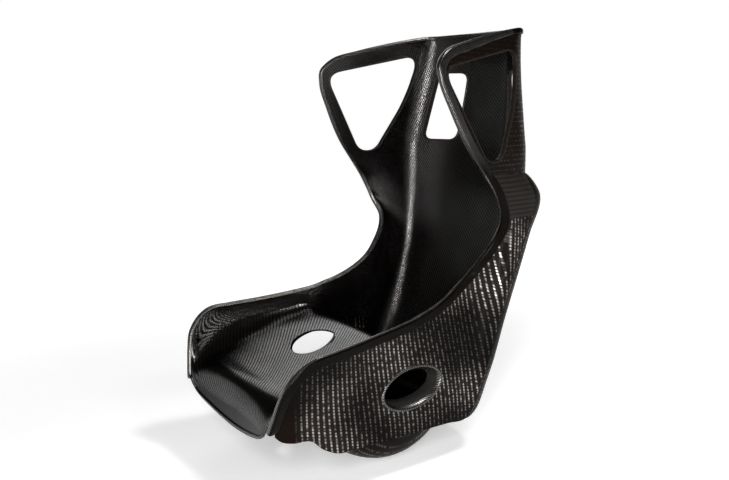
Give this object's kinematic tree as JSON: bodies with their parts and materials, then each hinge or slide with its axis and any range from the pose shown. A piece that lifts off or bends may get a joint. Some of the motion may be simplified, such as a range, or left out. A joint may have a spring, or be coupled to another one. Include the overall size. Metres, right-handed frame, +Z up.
{
  "type": "racing bucket seat",
  "caption": "Bare carbon-fibre bucket seat shell with head wings, wing windows, shoulder-strap windows, a crotch-strap slot and side holes for the lap straps.",
  "frame": {"origin": "centre of the bounding box's underside, below the bulge under the pan", "axes": "+Z up, -Y the way the driver faces, +X the driver's left; symmetric about X = 0"},
  "size_m": [0.4916, 0.71, 0.9041],
  "materials": {
    "carbon_weave": "clear-coated black twill carbon fibre, glossy",
    "carbon_cloth": "coarse black carbon cloth under satin resin",
    "carbon_edge": "narrow carbon tape wrapped round the edges, satin",
    "insert_alloy": "plain machined"
  },
  "bodies": {
    "root": {"back_skin": "carbon_cloth", "belly_skin": "carbon_cloth", "belt_funnel_left": "carbon_edge", "belt_funnel_right": "carbon_edge", "edge_strip_left": "carbon_edge", "edge_strip_right": "carbon_edge", "harness_liner_left": "carbon_edge", "harness_liner_right": "carbon_edge", "head_skin": "carbon_weave", "inner_back": "carbon_weave", "inner_head": "carbon_weave", "inner_pan": "carbon_weave", "lip_binding": "carbon_edge", "mount_block_front_left": "insert_alloy", "mount_block_front_right": "insert_alloy", "mount_block_rear_left": "insert_alloy", "mount_block_rear_right": "insert_alloy", "side_skin_left": "carbon_cloth", "side_skin_right": "carbon_cloth", "top_edge": "carbon_edge", "wing_edge_left": "carbon_edge", "wing_edge_right": "carbon_edge", "wing_liner_left": "carbon_edge", "wing_liner_right": "carbon_edge"}
  },
  "joints": []
}
